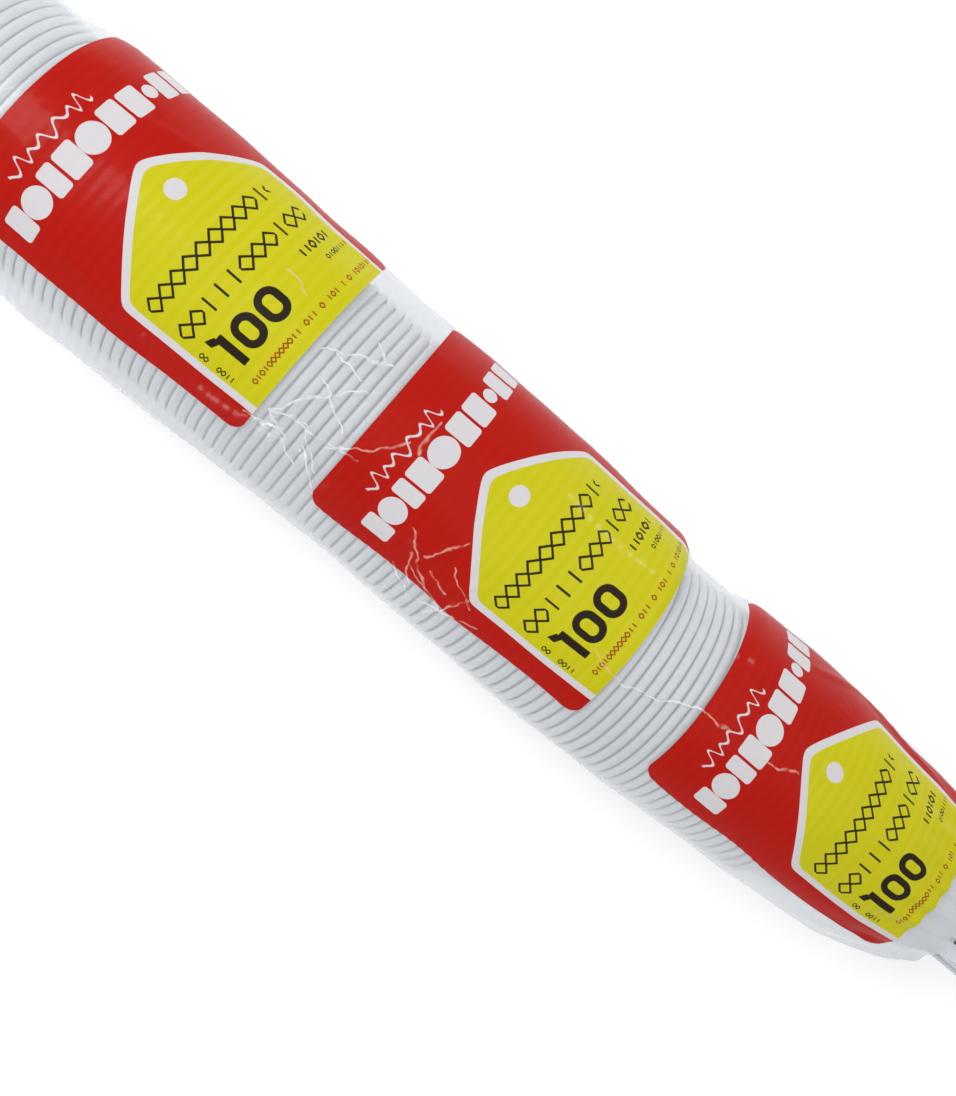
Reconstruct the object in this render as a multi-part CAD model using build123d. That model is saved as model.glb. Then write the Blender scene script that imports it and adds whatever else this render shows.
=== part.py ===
from build123d import *
from math import cos, radians, sin, tan
import os

# A sleeve pack of nested disposable drinking cups, lying on its side.
# +X runs along the stack from the mouths to the bases, +Z is up, and the origin is under the
# middle of the pack, on the surface that it lies on. All lengths are in millimetres.

# --- the cup, whose axis is X, measured from the top of its rim ---
RIM_DIAMETER = 71.0
CUP_HEIGHT = 69.0
CUP_WALL = 0.22
WALL_TAPER = 7.85  # degrees, each side
BEAD_WIDTH = 2.2  # the rolled rim, across
BEAD_HEIGHT = 2.9  # the rolled rim, along the axis
BEAD_FACETS = 9  # narrow cones that make each half turn of the bead
BEAD_TUCK = 100.0  # degrees that the rim's free edge turns back in
HEEL_RADIUS = 22.9
PINCH_RADIUS = 22.5  # the stacking ring, just under the shoulder
PANEL_RADIUS = 20.2  # the raised panel in the middle of the base
PANEL_RISE = 1.0
SHOULDER_GAP = 0.15  # between the shoulder and the heel of the next cup in

# --- the stack ---
CUPS = 100
PITCH = 3.55  # from one rim to the next
SINGLE_CUPS = 14  # cups at the mouth end in nodes of their own
CUPS_PER_GROUP = 2  # cups in each of the other nodes

# --- the line that the stack and the sleeve follow ---
BEND_START = 250.0  # from the first rim
BEND_RADIUS = 900.0
BEND_ANGLE = 5.0  # degrees, towards +Y

# --- the film sleeve ---
FILM_WALL = 0.3
FILM_RADIUS = 39.5
AXIS_HEIGHT = 36.3  # from the flattened underside up to the stack's axis
MOUTH_OVERHANG = 32.0  # open film in front of the first rim
NOSE = [(25.0, 0.8), (20.0, 2.6)]  # radius and distance behind the last base
TAIL_LENGTH = 46.0  # gathered and welded film behind the last base
TAIL_WALL = 2.4
TAIL_HALF_WIDTHS = (19.0, 22.0)  # where it leaves the nose, and at its end

# --- the barcode sticker on top of the tail ---
STICKER_LENGTH = 28.0
STICKER_WIDTH = 36.0
STICKER_WALL = 0.2
STICKER_START = 3.4  # behind the last base

RIM_RADIUS = RIM_DIAMETER / 2
LAST_RIM = (CUPS - 1) * PITCH
STACK_END = LAST_RIM + CUP_HEIGHT
TUBE_END = LAST_RIM + BEAD_HEIGHT + 0.5
BEND_END = BEND_START + BEND_RADIUS * radians(BEND_ANGLE)


def spine(distance):
    """The plane at a distance from the first rim, with its X along the stack and its Z up."""
    turn = min(max(distance - BEND_START, 0.0) / BEND_RADIUS, radians(BEND_ANGLE))
    past = max(distance - BEND_END, 0.0)
    x = min(distance, BEND_START) + BEND_RADIUS * sin(turn) + past * cos(turn)
    y = BEND_RADIUS * (1 - cos(turn)) + past * sin(turn)
    return Plane(origin=(x, y, AXIS_HEIGHT), x_dir=(cos(turn), sin(turn), 0), z_dir=(0, 0, 1))


def cup_line(grown):
    """A cup's outside line, from its axis to the free edge of its rim, moved out by grown.

    Its points are (distance from the rim, radius). The wall lies between this line at 0, on the
    outside, and the same line at minus the wall's thickness, towards the drink.
    """
    slope = tan(radians(WALL_TAPER))
    outer = BEAD_WIDTH / 2
    radius = outer - CUP_WALL - grown  # of the bead's bend, which the wall's outside is inside of
    middle = RIM_RADIUS - outer
    turns = [i * 180 / BEAD_FACETS for i in range(BEAD_FACETS + 1)]
    over = [(outer - radius * sin(radians(a)), middle - radius * cos(radians(a))) for a in turns]
    turns = [BEAD_TUCK * i * 2 / BEAD_FACETS for i in range(BEAD_FACETS // 2 + 1)]
    low = BEAD_HEIGHT - outer
    under = [(low + radius * sin(radians(a)), middle + radius * cos(radians(a))) for a in turns]
    heel = CUP_HEIGHT - PITCH + SHOULDER_GAP + CUP_WALL + grown
    wall_top = over[0]
    shoulder = (heel, wall_top[1] - (heel - wall_top[0]) * slope)
    return [
        (CUP_HEIGHT - PANEL_RISE + grown, 0),
        (CUP_HEIGHT - PANEL_RISE + grown, PANEL_RADIUS + grown / 2),
        (CUP_HEIGHT + grown, PANEL_RADIUS + PANEL_RISE - grown),
        (CUP_HEIGHT + grown, HEEL_RADIUS + grown),
        (heel + 0.2, PINCH_RADIUS + grown),
        shoulder,
        *over,
        *under,
    ]


def cup():
    """One thin-walled cup with a rolled rim, a stacking shoulder and a raised base panel."""
    line = cup_line(0) + cup_line(-CUP_WALL)[::-1]
    return revolve(make_face(Polyline(*line, close=True)), Axis.X).solid()


def place_cup(solid, number):
    """The cup of that number, counted from 0 at the mouth end, on the spine by its middle."""
    at = spine(number * PITCH + CUP_HEIGHT / 2)
    return solid.moved(at.location * Location((-CUP_HEIGHT / 2, 0, 0)))


def sleeve_solid(inset):
    """The sleeve as a filled shape, smaller all round by inset, on its flattened underside."""
    radius = FILM_RADIUS - inset

    def disc(distance):
        at = spine(distance)
        across = Plane(origin=at.origin, x_dir=at.y_dir, z_dir=at.x_dir)
        return across * Circle(radius)

    start = -MOUTH_OVERHANG - inset
    straight = extrude(disc(start), BEND_START - start)
    bend_axis = Axis((BEND_START, BEND_RADIUS, 0), (0, 0, 1))
    bend = revolve(disc(BEND_START), bend_axis, BEND_ANGLE)
    after = extrude(disc(BEND_END), TUBE_END - BEND_END)
    ends = [(STACK_END + d - TUBE_END - inset, r - inset) for r, d in NOSE]
    outline = Polyline((0, 0), (0, radius), *ends, (ends[-1][0], 0), close=True)
    nose = spine(TUBE_END).location * revolve(make_face(outline), Axis.X)
    length = STACK_END + TAIL_LENGTH + MOUTH_OVERHANG
    room = Pos(STACK_END / 2, 0, inset) * Box(
        2 * length, 2 * length, AXIS_HEIGHT * 3, align=(Align.CENTER, Align.CENTER, Align.MIN)
    )
    return (Part() + [straight, bend, after, nose]) & room


def tail_solid():
    """The film behind the nose: gathered, flattened to a fan and welded."""
    narrow, wide = TAIL_HALF_WIDTHS
    start = NOSE[-1][1] - FILM_WALL
    fan = Polyline(
        (start, -narrow), (TAIL_LENGTH, -wide), (TAIL_LENGTH, wide), (start, narrow), close=True
    )
    plate = extrude(make_face(fan), TAIL_WALL / 2, both=True)
    return spine(STACK_END).location * plate


def film_sleeve():
    """The printed film: a thin tube, open in front of the mouths and gathered behind the bases."""
    return (sleeve_solid(0) - sleeve_solid(FILM_WALL) + tail_solid()).solid()


def barcode_sticker():
    """A paper sticker on top of the tail."""
    middle = STICKER_START + STICKER_LENGTH / 2
    sticker = Pos(middle, 0, TAIL_WALL / 2) * Box(
        STICKER_LENGTH,
        STICKER_WIDTH,
        STICKER_WALL,
        align=(Align.CENTER, Align.CENTER, Align.MIN),
    )
    return (spine(STACK_END).location * sticker).solid()


def write(name, solids, shift):
    """One STEP file for a node, with its solids moved into the pack's frame."""
    moved = [s.moved(shift) for s in solids]
    export_step(moved[0] if len(moved) == 1 else Compound(moved), f"parts/{name}.step")


def main():
    os.makedirs("parts", exist_ok=True)
    film = film_sleeve()
    middle = film.bounding_box().center()
    shift = Location((-middle.X, -middle.Y, 0))
    write("film_sleeve", [film], shift)
    write("barcode_sticker", [barcode_sticker()], shift)
    one = cup()
    placed = [place_cup(one, n) for n in range(CUPS)]
    for n in range(SINGLE_CUPS):
        write(f"cup_{n + 1:03d}", [placed[n]], shift)
    for n in range(SINGLE_CUPS, CUPS, CUPS_PER_GROUP):
        group = placed[n : n + CUPS_PER_GROUP]
        write(f"cups_{n + 1:03d}_{n + len(group):03d}", group, shift)
    box = film.bounding_box()
    print(f"pack {box.size.X:.1f} x {box.size.Y:.1f} x {box.size.Z:.1f} mm, base at {box.min.Z:.3f}")
    print(f"moved by {-middle.X:.2f}, {-middle.Y:.2f}; first rim at {-middle.X:.2f}")
    print(f"cup: {one.volume:.0f} mm3 of plastic; stack {STACK_END:.1f} mm")


main()
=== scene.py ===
from math import cos, pi, radians, sin, tan

import bpy
import numpy as np
from mathutils import Matrix, Vector


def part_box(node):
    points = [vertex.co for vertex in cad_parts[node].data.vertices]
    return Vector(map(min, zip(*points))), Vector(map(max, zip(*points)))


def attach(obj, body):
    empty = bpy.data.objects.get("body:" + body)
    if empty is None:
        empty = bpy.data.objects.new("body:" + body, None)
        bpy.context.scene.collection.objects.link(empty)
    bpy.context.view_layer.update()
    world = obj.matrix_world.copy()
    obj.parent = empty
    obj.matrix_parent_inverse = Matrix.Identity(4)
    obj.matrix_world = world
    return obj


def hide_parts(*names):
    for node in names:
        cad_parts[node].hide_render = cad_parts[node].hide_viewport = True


# A sleeve pack of nested white drinking cups, in clear film with printed red and yellow labels.
# Metres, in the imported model's own frame: +X along the stack towards the bases, +Z up.

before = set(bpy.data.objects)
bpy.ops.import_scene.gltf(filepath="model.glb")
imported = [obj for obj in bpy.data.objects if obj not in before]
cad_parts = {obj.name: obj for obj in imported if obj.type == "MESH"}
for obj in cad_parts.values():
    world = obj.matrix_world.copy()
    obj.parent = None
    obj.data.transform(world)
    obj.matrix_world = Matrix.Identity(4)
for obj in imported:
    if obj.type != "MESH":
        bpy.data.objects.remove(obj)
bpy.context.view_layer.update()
MM = 0.001

# --- the stack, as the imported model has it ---
CUPS = 100
PITCH = 3.55 * MM
SLOPE = tan(radians(7.85))  # of a cup's wall
BEAD_HEIGHT = 2.9  # of a rim's rolled edge, along the stack, in millimetres
BEND_START = 250 * MM  # from the first rim
BEND_RADIUS = 900 * MM
BEND_ANGLE = radians(5)

first_low, first_high = (Vector(corner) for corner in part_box("cup_001"))
RIM_RADIUS = (first_high.z - first_low.z) / 2
CUP_HEIGHT = first_high.x - first_low.x
FIRST_RIM = Vector((first_low.x, (first_low.y + first_high.y) / 2, (first_low.z + first_high.z) / 2))
AXIS_HEIGHT = FIRST_RIM.z
LAST_RIM = (CUPS - 1) * PITCH
STACK_END = LAST_RIM + CUP_HEIGHT
BEND_END = BEND_START + BEND_RADIUS * BEND_ANGLE

# --- the film ---
FILM_COLUMNS = 176  # around the sleeve
FILM_ROWS = 582  # along it, four to each rim
FILM_AROUND = 245 * MM  # the flat film's width without its lap
LAP = 8 * MM
PRINT_RADIUS = FILM_AROUND / (2 * pi)
LAP_ANGLE = radians(150)  # where the long edges meet, from the top towards +Y
FLOOR_GAP = 0.25 * MM
RIM_GAP = 0.3  # at least, between the film and the rims, in millimetres
RIB_HEIGHT = 0.2  # where the film is pulled onto the rims, in millimetres
RIB_START = 1.45  # the middle of the first rim's rolled edge, in millimetres
NOSE_PLEATS = 23
NOSE_PLEAT_HEIGHT = 1.5
TAIL_PLEATS = 31
TAIL_TOP = 1.12  # the tail's highest film above the axis, under the sticker, in millimetres
LAP_STEP = 0.35  # how far the lap stands off the film under it, in millimetres

# --- the printed labels ---
LABEL_START = 49.0  # from the first rim, in millimetres
LABEL_REPEAT = 127.3
LABEL_LENGTH = 100.5
LABEL_HALF_WIDTH = 41.0
LABELS = 3
TAG_SHOULDER = 32.6  # how far down the label the tag's slanted top would meet its centre line
TAG_HALF_WIDTH = 32.6
TAG_BORDER = 2.4
BOLD_ROW = 20.6  # down the label
SCRIBBLE_ROW = 11.4
COUNT_ROW = 85.2

# The labels' centre line turns a little around the stack: millimetres along, degrees from the top.
LABEL_TURNS = [(49, 19.2), (150, 20.4), (177, 16.1), (278, 20.9), (304, 19.2), (405, 6.8)]

# --- the view, from above ---
VIEW_TURN = radians(40.8)
VIEW_LEANS = (radians(-5.5), radians(5.3))  # from straight above, to the picture's right and top
VIEW_DISTANCE = 400 * MM  # to the middle of the view, on the stack's axis
VIEW_SPAN = 344.3 * MM  # along the picture's longer side, there
VIEW_SENSOR = 36.0
VIEW_MIDDLE = (226.9 * MM, -4.5 * MM)  # from the first rim


# ---------- shape helpers ----------


def spine(distance):
    """Points on the stack's axis, and the heading there, at distances from the first rim."""
    turn = np.clip((distance - BEND_START) / BEND_RADIUS, 0, BEND_ANGLE)
    past = np.maximum(distance - BEND_END, 0)
    x = FIRST_RIM.x + np.minimum(distance, BEND_START) + BEND_RADIUS * np.sin(turn) + past * np.cos(turn)
    y = FIRST_RIM.y + BEND_RADIUS * (1 - np.cos(turn)) + past * np.sin(turn)
    return x, y, turn


def smooth(values, rows):
    """Values along the film, averaged over that many neighbours."""
    kernel = np.hanning(rows + 2)[1:-1]
    padded = np.pad(values, rows // 2, mode="edge")
    return np.convolve(padded, kernel / kernel.sum(), mode="same")[rows // 2 : rows // 2 + len(values)]


def fade(value, start, end):
    """0 before start, 1 after end, with a smooth step between."""
    t = np.clip((value - start) / (end - start), 0, 1)
    return t * t * (3 - 2 * t)


def window(value, start, end, soft):
    """1 between start and end, fading to 0 over the soft distance outside."""
    return fade(value, start - soft, start) * (1 - fade(value, end, end + soft))


def mesh_object(name, vertices, faces):
    mesh = bpy.data.meshes.new(name)
    mesh.from_pydata(vertices, [], faces)
    mesh.polygons.foreach_set("use_smooth", [True] * len(mesh.polygons))
    piece = bpy.data.objects.new(name, mesh)
    bpy.context.scene.collection.objects.link(piece)
    return piece


# ---------- the film ----------

# Along the film: path length, distance from the first rim, half width towards +Y and towards -Y,
# height above the axis and depth below it, all in millimetres.
FILM_SECTIONS = [
    (0, -32, 39.6, 39.2, 38.8, 38.0),
    (14, -18, 38.8, 38.4, 38.2, 38.0),
    (34, 2, 37.2, 37.2, 37.0, 38.0),
    (68, 36, 36.5, 36.4, 36.6, 37.6),
    (86, 54, 40.6, 40.2, 37.0, 38.0),
    (112, 80, 41.8, 41.2, 36.9, 38.0),
    (150, 118, 42.2, 39.4, 36.8, 38.0),
    (196, 164, 41.6, 37.0, 37.1, 38.0),
    (218, 186, 42.6, 36.5, 36.9, 38.0),
    (262, 230, 43.2, 36.4, 37.2, 38.0),
    (306, 274, 41.4, 36.5, 37.4, 38.0),
    (314, 282, 36.6, 36.3, 36.8, 37.4),
    (332, 300, 36.4, 36.3, 36.9, 37.4),
    (340, 308, 39.0, 36.5, 37.6, 38.0),
    (362, 330, 38.6, 36.6, 37.6, 38.0),
    (384, 352, 36.8, 36.8, 37.2, 38.0),
    (402, 370, 34.2, 36.8, 35.2, 36.6),
    (421, 389, 31.2, 36.2, 32.0, 35.6),
    (446, 413.5, 26.8, 30.2, 27.4, 29.8),
    (453, 420.8, 24.8, 26.6, 24.8, 25.4),
    (462, 421.6, 20.6, 21.4, 14.0, 14.4),
    (472, 422.6, 19.2, 19.6, 1.2, 1.2),
    (477, 426.0, 19.0, 19.2, 0.95, 0.95),
    (516, 466.4, 21.8, 21.8, 0.9, 0.9),
]

# Sharp creases, with painted glints along them: the distance from the first rim and the
# distance around from the top (towards +Y) where each starts and ends, in millimetres.
SHARP_CREASES = [
    (153, -13, 162, -10),
    (162, -10, 173, -20),
    (153, -13, 167, -24),
    (153, -13, 160, -2),
    (160, -2, 170, 8),
    (152, 8, 170, 18),
    (155, -12, 180, -9),
    (172, -12, 188, 5),
    (163, 21, 168, 17),
    (157, 10, 166, 9),
    (204, -13, 219, -27),
    (213, -18, 220, -5),
    (219, -33, 238, -26),
    (221, -14, 233, -22),
    (191, 15, 192, 4),
    (268, -5, 279, -8),
    (279, -8, 293, -3),
    (293, -3, 304, 2),
    (304, 2, 315, 1),
    (326, 0, 339, 3),
    (131, 19, 140, 17),
    (207, -28, 217, -35),
    (212, -24, 226, -30),
    (216, -20, 224, -24),
    (224, -36, 231, -20),
    (209, -20, 214, -30),
    (147, -20, 158, -16),
    (166, -16, 176, -27),
    (158, 3, 172, -5),
]
SHARP_HEIGHT, SHARP_HALF_WIDTH = 0.35, 2.0
# Width of the painted glint lines along the creases, in millimetres.
CREASE_GLINT_WIDTH = 0.30

# Wide soft folds in the slack film: as above, then their height and half width.
SOFT_FOLDS = [
    (214, -30, 232, -12, 0.4, 3.0),
    (330, 38, 352, 50, 0.7, 2.6),
    (352, 50, 392, 40, 0.8, 2.8),
    (120, 40, 158, 46, 0.5, 2.6),
    (66, -12, 92, -20, 0.4, 2.6),
    (60, 20, 96, 30, 0.4, 3.0),
    (100, -44, 160, -52, 0.8, 3.5),
    (238, 40, 272, 36, 0.5, 3.0),
    (372, -44, 404, -34, 0.7, 2.6),
    (380, -20, 412, -12, 0.4, 2.0),
]


def crease(along, around, start_along, start_around, end_along, end_around, height, half_width):
    """A fold in the film: a sharp ridge on a line, fading at its ends."""
    run = np.array((end_along - start_along, end_around - start_around), dtype=float)
    length = np.hypot(*run)
    run /= length
    on_line = (along - start_along) * run[0] + (around - start_around) * run[1]
    off_line = np.abs((around - start_around) * run[0] - (along - start_along) * run[1])
    beyond = np.maximum(np.maximum(-on_line, on_line - length), 0)
    away = np.hypot(off_line, beyond)
    taper = np.sqrt(np.clip(1 - (2 * on_line / length - 1) ** 2, 0.04, 1))
    return height * taper * np.maximum(1 - away / half_width, 0) ** 1.3


def film_point_grid():
    """The film's vertices, and its distances along and around the pack in millimetres."""
    keys = np.array(FILM_SECTIONS, dtype=float)
    path = np.linspace(0, keys[-1, 0], FILM_ROWS)
    columns = (np.interp(path, keys[:, 0], keys[:, k]) for k in range(1, 6))
    along, right, left, top, bottom = (smooth(column, 7) for column in columns)
    along[0], along[-1] = keys[0, 1], keys[-1, 1]
    angle = np.linspace(LAP_ANGLE - 2 * pi, LAP_ANGLE + LAP / PRINT_RADIUS, FILM_COLUMNS)
    along, angle = np.meshgrid(along, angle, indexing="ij")
    right, left, top, bottom = (v[:, None] for v in (right, left, top, bottom))
    around = angle * PRINT_RADIUS / MM
    sine, cosine = np.sin(angle), np.cos(angle)

    last_rim, stack_end = LAST_RIM / MM, STACK_END / MM
    tail = fade(along, stack_end - 14, stack_end + 1)
    flat_tail = fade(along, stack_end + 0.5, stack_end + 3)

    side = np.where(sine > 0, right, left) * sine
    up = np.where(cosine > 0, top, bottom) * cosine

    # Slack: long low waves, ribs where the film is pulled onto the rims, folds, and the lap.
    slack = 0.28 * np.sin(along / 11 + 2 * angle) * np.sin(along / 23 + 3 * angle + 1)
    slack += 0.16 * np.sin(along / 5.1 - 5 * angle) * np.sin(along / 17 + 4 * angle)
    hugging = 0.8 * window(along, 16, 44, 8) + 0.8 * window(along, 282, 303, 5) + 0.12
    hugging += 0.7 * window(np.degrees(angle), -125, -52, 14) * window(along, 20, 352, 10)
    hugging *= fade(along, 14, 26)
    ribs = RIB_HEIGHT * hugging * np.cos(2 * pi * (along - RIB_START) / (PITCH / MM))
    out = slack * (1 - tail) + ribs * (1 - fade(along, last_rim + 2, last_rim + 8))
    for ends in SHARP_CREASES:
        out += crease(along, around, *ends, SHARP_HEIGHT, SHARP_HALF_WIDTH)
    for fold in SOFT_FOLDS:
        out += crease(along, around, *fold)
    pleats = 0.5 + 0.5 * np.sin(NOSE_PLEATS * angle + 1.7 * np.sin(3 * angle))
    wall_pleats = fade(along, last_rim + 16, stack_end) * (1 - flat_tail)
    out += NOSE_PLEAT_HEIGHT * wall_pleats * (pleats - 0.3)
    out += LAP_STEP * fade(angle, LAP_ANGLE, LAP_ANGLE + 0.02)
    side += out * sine
    up += out * cosine * (1 - flat_tail)

    # The gathered tail: flat, with narrow pleats lying on each other.
    side += flat_tail * 0.7 * np.sin(TAIL_PLEATS * angle)
    up += flat_tail * 0.28 * np.sin(NOSE_PLEATS * angle + along / 9) * np.sign(cosine + 1e-9)
    up = np.minimum(up, np.where(along > stack_end + 3, TAIL_TOP, np.inf))

    # It stays outside the cups and above what the pack lies on.
    reach = np.hypot(side, up)
    wall = RIM_RADIUS / MM + RIM_GAP - np.maximum(along - last_rim - BEAD_HEIGHT, 0) * SLOPE
    clear = np.where(along < stack_end + 0.3, wall - 2.4 * fade(along, last_rim + 2.5, last_rim + 5), 0)
    stretch = np.maximum(clear / np.maximum(reach, 0.01), 1)
    side, up = side * stretch, up * stretch
    floor = -(AXIS_HEIGHT - FLOOR_GAP) / MM
    up = np.maximum(up, floor)

    # The open mouth's cut edge is a little uneven.
    along = along + (1 - fade(along, -32, -20)) * (0.8 * np.sin(2 * angle + 1) + 0.3 * np.sin(7 * angle))
    x, y, turn = spine(along * MM)
    x = x - side * MM * np.sin(turn)
    y = y + side * MM * np.cos(turn)
    points = np.stack((x, y, AXIS_HEIGHT + up * MM), -1)
    return points, along, around


def make_film():
    points, along, around = film_point_grid()
    rows, columns, _ = points.shape
    first = np.arange(rows * columns).reshape(rows, columns)
    faces = np.stack((first[:-1, :-1], first[1:, :-1], first[1:, 1:], first[:-1, 1:]), -1).reshape(-1, 4)
    film = mesh_object("printed_film", points.reshape(-1, 3).tolist(), faces.tolist())
    turns = np.array(LABEL_TURNS, dtype=float)
    centre = np.interp(along, turns[:, 0], turns[:, 1]) * pi / 180 * PRINT_RADIUS / MM
    places = np.stack((around - centre, along), -1).reshape(-1, 2) * MM
    corners = np.empty(len(film.data.loops), dtype=np.int32)
    film.data.loops.foreach_get("vertex_index", corners)
    plain = np.stack((around, along), -1).reshape(-1, 2) * MM
    for name, values in (("print", places), ("film", plain)):
        layer = film.data.uv_layers.new(name=name)
        layer.data.foreach_set("uv", values[corners].astype(np.float32).ravel())
    return film


# ---------- materials ----------


class Field:
    """A value that Math nodes work out all over a surface, so that shapes can be written as formulas."""

    def __init__(self, tree, socket):
        self.tree = tree
        self.socket = socket

    def math(self, operation, *others):
        node = self.tree.nodes.new("ShaderNodeMath")
        node.operation = operation
        for place, value in enumerate((self, *others)):
            if isinstance(value, Field):
                self.tree.links.new(value.socket, node.inputs[place])
            else:
                node.inputs[place].default_value = value
        return Field(self.tree, node.outputs[0])

    def __add__(self, other):
        return self.math("ADD", other)

    def __sub__(self, other):
        return self.math("SUBTRACT", other)

    def __mul__(self, other):
        return self.math("MULTIPLY", other)

    def abs(self):
        return self.math("ABSOLUTE")

    def floor(self):
        return self.math("FLOOR")

    def min(self, other):
        return self.math("MINIMUM", other)

    def max(self, other):
        return self.math("MAXIMUM", other)

    def sin(self):
        return self.math("SINE")

    def sqrt(self):
        return self.math("SQRT")


def new_material(name):
    material = bpy.data.materials.new(name)
    material.use_nodes = True
    material.node_tree.nodes.clear()
    return material, material.node_tree


def add_node(tree, kind, links=None, **values):
    """A node with its sockets' constants set, and its linked sockets joined."""
    node = tree.nodes.new(kind)
    for name, value in values.items():
        node.inputs[name.replace("_", " ")].default_value = value
    for name, socket in (links or {}).items():
        tree.links.new(socket.socket if isinstance(socket, Field) else socket, node.inputs[name])
    return node


def mask(distance, edge=0.14):
    """1 inside a shape, 0 outside, from the signed distance to its edge in millimetres."""
    return (distance * (-1 / edge) + 0.5).max(0.0).min(1.0)


def rounded_box(x, y, centre_x, centre_y, half_x, half_y, radius):
    """Signed distance to a rounded rectangle."""
    dx = (x - centre_x).abs() - (half_x - radius)
    dy = (y - centre_y).abs() - (half_y - radius)
    outside = (dx.max(0.0) * dx.max(0.0) + dy.max(0.0) * dy.max(0.0)).sqrt()
    return outside + dx.max(dy).min(0.0) - radius


def disc(x, y, centre_x, centre_y, radius):
    dx, dy = x - centre_x, y - centre_y
    return (dx * dx + dy * dy).sqrt() - radius


def union(*shapes):
    result = shapes[0]
    for shape in shapes[1:]:
        result = result.min(shape)
    return result


def random_of(field, seed):
    """A fixed random value from 0 to 1 for each whole number."""
    node = field.tree.nodes.new("ShaderNodeTexWhiteNoise")
    node.noise_dimensions = "2D"
    pair = add_node(field.tree, "ShaderNodeCombineXYZ", {"X": field}, Y=seed)
    field.tree.links.new(pair.outputs[0], node.inputs["Vector"])
    return Field(field.tree, node.outputs["Value"])


def filler_line(run, across, start, end, middle, height, weight, seed):
    """A line of filler in place of text: open diamonds and short ticks, with a few gaps."""
    cell = height * 0.66
    number = ((run - start) * (1 / cell)).floor()
    inside = run - start - number * cell - cell / 2
    pick = random_of(number, seed)
    diamond = (inside.abs() + (across - middle).abs()) * 0.707 - height * 0.24
    ring = diamond.abs() - weight
    tick = rounded_box(inside, across, 0.0, middle, weight, height * 0.36, weight)
    is_ring = pick.math("GREATER_THAN", 0.35)
    is_word = pick.math("LESS_THAN", 0.92)
    ends = rounded_box(run, across, (start + end) / 2, middle, (end - start) / 2, height, 0.1)
    shapes = mask(ring) * is_ring + mask(tick) * (is_ring * -1.0 + 1.0)
    return shapes * is_word * mask(ends)


def mix_colour(tree, factor, below, above):
    node = tree.nodes.new("ShaderNodeMix")
    node.data_type = "RGBA"
    tree.links.new(factor.socket, node.inputs[0])
    for place, colour in ((6, below), (7, above)):
        if isinstance(colour, tuple):
            node.inputs[place].default_value = (*colour, 1)
        else:
            tree.links.new(colour, node.inputs[place])
    return node.outputs[2]


RED = (0.46, 0.006, 0.001)
YELLOW = (0.59, 0.545, 0.004)
# Paler copies of the red and yellow: painted highlight over the rims.
RED_PAINTED_RIM_HIGHLIGHT = (0.56, 0.022, 0.008)
YELLOW_PAINTED_RIM_HIGHLIGHT = (0.68, 0.66, 0.06)
WHITE_INK = (0.68, 0.65, 0.66)
DARK_INK = (0.020, 0.013, 0.006)
BROWN_INK = (0.33, 0.07, 0.01)
# Painted glint colour along the creases.
PAINTED_GLINT_COLOUR = (0.80, 0.52, 0.40)

BAR_WIDTH = 0.42  # of the narrowest bar on the sticker, in millimetres

# The bold row of plain shapes on the red: each one's middle around the label and half width.
BOLD_SHAPES = [
    (-32.5, 3.0),
    (-25, 3.6),
    (-17.5, 2.6),
    (-10.5, 3.4),
    (-2.5, 3.8),
    (6, 3.4),
    (14, 3.6),
    (20.8, 1.6),
    (27, 3.4),
    (35.5, 3.8),
]


def label_masks(across, along):
    """The label's inks, as masks on the film: across is 0 on the label's centre line."""
    number = ((along - LABEL_START) * (1 / LABEL_REPEAT)).floor().max(0.0).min(LABELS - 1.0)
    down = along - LABEL_START - number * LABEL_REPEAT
    wavy = across + (down * 0.13).sin() * 0.5
    panel = mask(rounded_box(down, wavy, LABEL_LENGTH / 2, 0.0, LABEL_LENGTH / 2, LABEL_HALF_WIDTH, 4.5))

    spread = (across * across + 5.0).sqrt() - 1.1
    chamfer = (down - TAG_SHOULDER) * -0.82 + spread * 0.572
    tag = chamfer.math("SMOOTH_MAX", across.abs() - TAG_HALF_WIDTH, 3.0)
    outline = mask(tag)
    tag_face = mask(tag + TAG_BORDER)
    hole = mask(disc(down, across, 45.2, 1.4, 3.1))

    bold = [
        disc(down, across, BOLD_ROW, middle, half + 0.8) if place % 3 == 1
        else rounded_box(down, across, BOLD_ROW, middle, 4.7, half, 1.1)
        for place, (middle, half) in enumerate(BOLD_SHAPES)
    ]
    swing = (across * 0.55).sin() * 0.9 + 1.5
    zigzag = (across * 1.3 + (across * 0.4).sin()).sin() * swing
    wave = ((down - SCRIBBLE_ROW) - zigzag).abs() * 0.5 - 0.22
    scribble = wave.max(rounded_box(down, across, SCRIBBLE_ROW, -9.5, 9.0, 15.5, 1.0))
    white = mask(union(*bold)).max(mask(scribble)).max(hole)

    # The count, as plain numerals that read towards +Y.
    one = union(
        rounded_box(down, across, COUNT_ROW, -21.4, 5.3, 1.3, 0.3),
        rounded_box(down - across * 0.5, across, 91.6, -23.4, 1.3, 1.4, 0.3),
    )
    zeros = [
        rounded_box(down, across, COUNT_ROW, middle, 4.2, 2.9, 2.8).abs() - 1.15
        for middle in (-14.2, -5.0)
    ]
    count = mask(union(one, *zeros))
    lines = [
        filler_line(across, down, -28.0, 22.0, 61.5, 7.4, 0.36, 3.0),
        filler_line(across, down, -28.0, 25.0, 72.5, 7.4, 0.36, 11.0),
        filler_line(across, down, 11.0, 27.0, 81.5, 3.8, 0.34, 5.0),
        filler_line(across, down, 17.0, 29.0, 87.0, 2.3, 0.19, 7.0),
        filler_line(down, across, 79.0, 91.0, -28.4, 2.3, 0.19, 2.0),
    ]
    dark = count
    for line in lines:
        dark = dark.max(line)
    brown = filler_line(across, down, -25.0, 30.0, 95.4, 2.5, 0.22, 9.0)
    return panel, outline, tag_face, white, dark, brown


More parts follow.
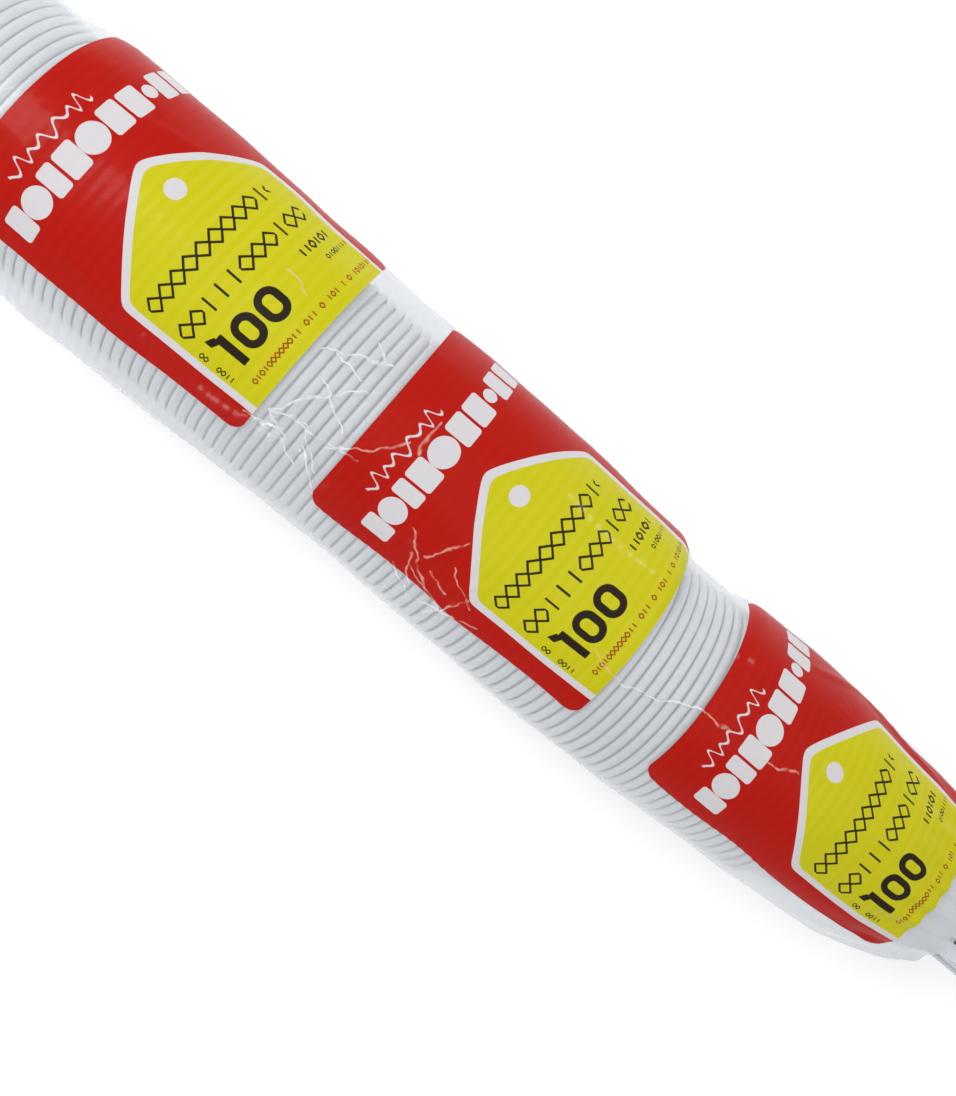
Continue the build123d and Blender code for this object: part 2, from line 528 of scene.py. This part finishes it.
def vector_math(tree, operation, *values):
    """A Vector Math node's result: a number for a dot product or length, otherwise a vector."""
    node = tree.nodes.new("ShaderNodeVectorMath")
    node.operation = operation
    for place, value in enumerate(values):
        socket = node.inputs["Scale"] if operation == "SCALE" and place else node.inputs[place]
        if isinstance(value, tuple):
            socket.default_value = value
        else:
            tree.links.new(value.socket if isinstance(value, Field) else value, socket)
    if operation in ("DOT_PRODUCT", "LENGTH"):
        return Field(tree, node.outputs["Value"])
    return node.outputs["Vector"]


def painted_crease_glints(tree):
    """Painted glints along the film's sharp creases: thin, broken, slightly wandering lines."""
    place = tree.nodes.new("ShaderNodeUVMap")
    place.uv_map = "film"
    here = vector_math(tree, "MULTIPLY", place.outputs[0], (1000.0, 1000.0, 0.0))
    wander = add_node(tree, "ShaderNodeTexNoise", {"Vector": here}, Scale=0.16, Detail=2.0)
    offset = vector_math(tree, "MULTIPLY", wander.outputs["Color"], (5.0, 5.0, 0.0))
    here = vector_math(tree, "SUBTRACT", vector_math(tree, "ADD", here, offset), (2.5, 2.5, 0.0))
    nearest = None
    for along_start, around_start, along_end, around_end in SHARP_CREASES:
        run = Vector((around_end - around_start, along_end - along_start, 0))
        away = vector_math(tree, "SUBTRACT", here, (float(around_start), float(along_start), 0.0))
        share = vector_math(tree, "DOT_PRODUCT", away, tuple(run / run.length_squared)).max(0.0).min(1.0)
        foot = vector_math(tree, "SCALE", tuple(run), share)
        distance = vector_math(tree, "LENGTH", vector_math(tree, "SUBTRACT", away, foot))
        nearest = distance if nearest is None else nearest.min(distance)
    patches = add_node(tree, "ShaderNodeTexNoise", {"Vector": here}, Scale=0.35, Detail=3.0)
    strength = (Field(tree, patches.outputs["Fac"]) * 4.0 - 1.2).max(0.15).min(1.0)
    return mask(nearest - CREASE_GLINT_WIDTH, 0.3) * strength


def ink_colour(tree, masks, lines):
    """The printed labels' colour, with painted highlight as paler bands over the rims, and painted glints
    on the creases.
    """
    outline, tag_face, white, dark, brown, painted_rim_highlight = masks
    red = mix_colour(tree, painted_rim_highlight, RED, RED_PAINTED_RIM_HIGHLIGHT)
    yellow = mix_colour(tree, painted_rim_highlight * 1.8, YELLOW, YELLOW_PAINTED_RIM_HIGHLIGHT)
    colour = mix_colour(tree, outline, red, WHITE_INK)
    colour = mix_colour(tree, tag_face, colour, yellow)
    colour = mix_colour(tree, white, colour, WHITE_INK)
    colour = mix_colour(tree, dark, colour, DARK_INK)
    colour = mix_colour(tree, brown, colour, BROWN_INK)
    # Painted glints along the creases, over the ink.
    return mix_colour(tree, lines * 0.6, colour, PAINTED_GLINT_COLOUR)


def film_relief(tree, position):
    """A bump for the film: fine ripples, and crinkles in some patches."""
    crinkle = add_node(tree, "ShaderNodeTexVoronoi", {"Vector": position}, Scale=95.0)
    crinkle.feature = "DISTANCE_TO_EDGE"
    ripple = add_node(tree, "ShaderNodeTexNoise", {"Vector": position},
                      Scale=160.0, Detail=3.0, Distortion=1.2)
    where = add_node(tree, "ShaderNodeTexNoise", {"Vector": position}, Scale=16.0, Detail=1.0)
    creased = (Field(tree, where.outputs["Fac"]) * 6.0 - 3.1).max(0.0).min(1.0)
    edges = (Field(tree, crinkle.outputs["Distance"]) * 9.0).min(1.0) * creased
    relief = edges * 0.6 + Field(tree, ripple.outputs["Fac"]) * 0.5
    bump = add_node(tree, "ShaderNodeBump", {"Height": relief}, Strength=0.10, Distance=0.0006)
    return bump.outputs[0]


def mix_shaders(tree, factor, below, above):
    both = add_node(tree, "ShaderNodeMixShader")
    for place, socket in enumerate((factor.socket, below.outputs[0], above.outputs[0])):
        tree.links.new(socket, both.inputs[place])
    return both


def film_material():
    """Clear, slightly hazy film, with the labels printed on it."""
    material, tree = new_material("printed_film")
    place = tree.nodes.new("ShaderNodeUVMap")
    place.uv_map = "print"
    split = add_node(tree, "ShaderNodeSeparateXYZ", {"Vector": place.outputs[0]})
    across = Field(tree, split.outputs["X"]) * 1000.0
    along = Field(tree, split.outputs["Y"]) * 1000.0
    panel, *masks = label_masks(across, along)

    # Under the ink, the rims show as faint paler lines: painted highlight on the ribs that the rims make
    # in the film.
    position = tree.nodes.new("ShaderNodeTexCoord").outputs["Object"]
    patches = add_node(tree, "ShaderNodeTexNoise", {"Vector": position}, Scale=38.0, Detail=2.0)
    rims = (along * (2 * pi / (PITCH / MM)) + 1.0).sin() * 0.5 + 0.5
    painted_rim_highlight = rims * Field(tree, patches.outputs["Fac"]) * 0.16
    lines = painted_crease_glints(tree)
    colour = ink_colour(tree, (*masks, painted_rim_highlight), lines)
    normal = film_relief(tree, position)

    ink = add_node(tree, "ShaderNodeBsdfPrincipled",
                   {"Base Color": colour, "Normal": normal, "Coat Normal": normal},
                   Roughness=0.42, Specular_IOR_Level=0.08, Coat_Weight=0.12, Coat_Roughness=0.12)
    see_through = add_node(tree, "ShaderNodeBsdfTransparent", Color=(0.975, 0.98, 0.985, 1))
    gloss = add_node(tree, "ShaderNodeBsdfPrincipled", {"Normal": normal},
                     Base_Color=(0.80, 0.82, 0.84, 1), Roughness=0.12)
    facing = add_node(tree, "ShaderNodeLayerWeight", Blend=0.32)
    # The clear film is whiter at grazing angles, and whiter still on the painted crease glints.
    haze = Field(tree, facing.outputs["Facing"]) * 0.28 + 0.33 + lines * 0.6
    clear = mix_shaders(tree, haze, see_through, gloss)
    both = mix_shaders(tree, panel, clear, ink)
    add_node(tree, "ShaderNodeOutputMaterial", {"Surface": both.outputs[0]})
    return material


def cup_material():
    """White thermoformed plastic: satin, slightly uneven, letting a little light through."""
    material, tree = new_material("white_cup_plastic")
    position = tree.nodes.new("ShaderNodeTexCoord").outputs["Object"]
    cloud = add_node(tree, "ShaderNodeTexNoise", {"Vector": position}, Scale=45.0, Detail=3.0)
    grain = add_node(tree, "ShaderNodeTexNoise", {"Vector": position}, Scale=900.0, Detail=2.0)
    tint = mix_colour(tree, Field(tree, cloud.outputs["Fac"]), (0.82, 0.83, 0.84), (0.88, 0.89, 0.90))
    rough = Field(tree, cloud.outputs["Fac"]) * 0.16 + 0.26
    bump = add_node(tree, "ShaderNodeBump", {"Height": grain.outputs["Fac"]},
                    Strength=0.08, Distance=0.0002)
    shader = add_node(tree, "ShaderNodeBsdfPrincipled",
                      {"Base Color": tint, "Roughness": rough, "Normal": bump.outputs[0]},
                      Subsurface_Weight=0.25, Subsurface_Radius=(1, 1, 1),
                      Subsurface_Scale=0.002, IOR=1.5)
    add_node(tree, "ShaderNodeOutputMaterial", {"Surface": shader.outputs[0]})
    return material


def sticker_material():
    """White paper with a run of bars along it, spaced across the tail."""
    material, tree = new_material("bar_sticker")
    x, y, turn = spine(np.array([STACK_END]))
    position = tree.nodes.new("ShaderNodeTexCoord").outputs["Object"]
    split = add_node(tree, "ShaderNodeSeparateXYZ", {"Vector": position})
    east = Field(tree, split.outputs["X"]) - float(x[0])
    north = Field(tree, split.outputs["Y"]) - float(y[0])
    heading = (cos(float(turn[0])), sin(float(turn[0])))
    along = (east * heading[0] + north * heading[1]) * 1000.0
    across = (north * heading[0] - east * heading[1]) * 1000.0
    pick = random_of((across * (1 / BAR_WIDTH)).floor(), 4.0)
    bars = pick.math("GREATER_THAN", 0.5)
    field = mask(rounded_box(along, across, 17.0, 1.6, 11.6, 14.2, 0.1))
    fibres = add_node(tree, "ShaderNodeTexNoise", {"Vector": position}, Scale=700.0, Detail=4.0)
    paper = mix_colour(tree, Field(tree, fibres.outputs["Fac"]), (0.74, 0.77, 0.83), (0.84, 0.86, 0.90))
    colour = mix_colour(tree, bars * field, paper, (0.03, 0.03, 0.035))
    bump = add_node(tree, "ShaderNodeBump", {"Height": fibres.outputs["Fac"]},
                    Strength=0.1, Distance=0.0001)
    shader = add_node(tree, "ShaderNodeBsdfPrincipled", {"Base Color": colour, "Normal": bump.outputs[0]},
                      Roughness=0.42, Coat_Weight=0.2, Coat_Roughness=0.2)
    add_node(tree, "ShaderNodeOutputMaterial", {"Surface": shader.outputs[0]})
    return material


def give(piece, material):
    piece.data.materials.clear()
    piece.data.materials.append(material)


# ---------- stage ----------


def add_camera():
    right = Vector((cos(VIEW_TURN), sin(VIEW_TURN), 0))
    up = Vector((-sin(VIEW_TURN), cos(VIEW_TURN), 0))
    back = (Vector((0, 0, 1)) + right * VIEW_LEANS[0] + up * VIEW_LEANS[1]).normalized()
    right = (right - back * right.dot(back)).normalized()
    up = back.cross(right)
    middle = FIRST_RIM + Vector((*VIEW_MIDDLE, 0))
    data = bpy.data.cameras.new("camera")
    data.sensor_width = VIEW_SENSOR
    data.lens = VIEW_SENSOR * VIEW_DISTANCE / VIEW_SPAN
    camera = bpy.data.objects.new("camera", data)
    camera.rotation_euler = Matrix((right, up, back)).transposed().to_euler()
    camera.location = middle + back * VIEW_DISTANCE
    bpy.context.scene.collection.objects.link(camera)
    bpy.context.scene.camera = camera


def add_light(name, size, power, place):
    data = bpy.data.lights.new(name, "AREA")
    data.size = size
    data.energy = power
    light = bpy.data.objects.new(name, data)
    light.location = place
    light.rotation_euler = (-Vector(place)).to_track_quat("-Z", "Y").to_euler()
    bpy.context.scene.collection.objects.link(light)


def add_stage():
    edge = 12.0
    corners = [(-edge, -edge, 0), (edge, -edge, 0), (edge, edge, 0), (-edge, edge, 0)]
    floor = mesh_object("floor", corners, [(0, 1, 2, 3)])
    material, tree = new_material("floor")
    shader = add_node(tree, "ShaderNodeBsdfPrincipled", Base_Color=(0.92, 0.92, 0.92, 1), Roughness=0.8,
                      Emission_Color=(1, 1, 1, 1), Emission_Strength=0.28)
    add_node(tree, "ShaderNodeOutputMaterial", {"Surface": shader.outputs[0]})
    give(floor, material)
    world = bpy.data.worlds.new("studio")
    world.use_nodes = True
    world.node_tree.nodes["Background"].inputs["Color"].default_value = (0.95, 0.97, 1.0, 1)
    world.node_tree.nodes["Background"].inputs["Strength"].default_value = 0.58
    bpy.context.scene.world = world
    bpy.context.scene.view_settings.view_transform = "Standard"
    add_light("key", 0.5, 4.2, (-0.60, 0.12, 0.80))
    add_light("fill", 1.4, 2.4, (0.4, 0.35, 1.2))
    add_light("glint_near", 0.06, 0.35, (-0.12, -0.78, 0.42))
    add_light("glint_far", 0.06, 0.25, (0.20, 0.75, 0.38))


add_camera()
add_stage()

film = make_film()
give(film, film_material())
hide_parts("film_sleeve")
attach(film, "root")
cup_names = [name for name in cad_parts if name.startswith("cup")]

cup_plastic = cup_material()
for name in cup_names:
    give(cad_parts[name], cup_plastic)
give(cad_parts["barcode_sticker"], sticker_material())
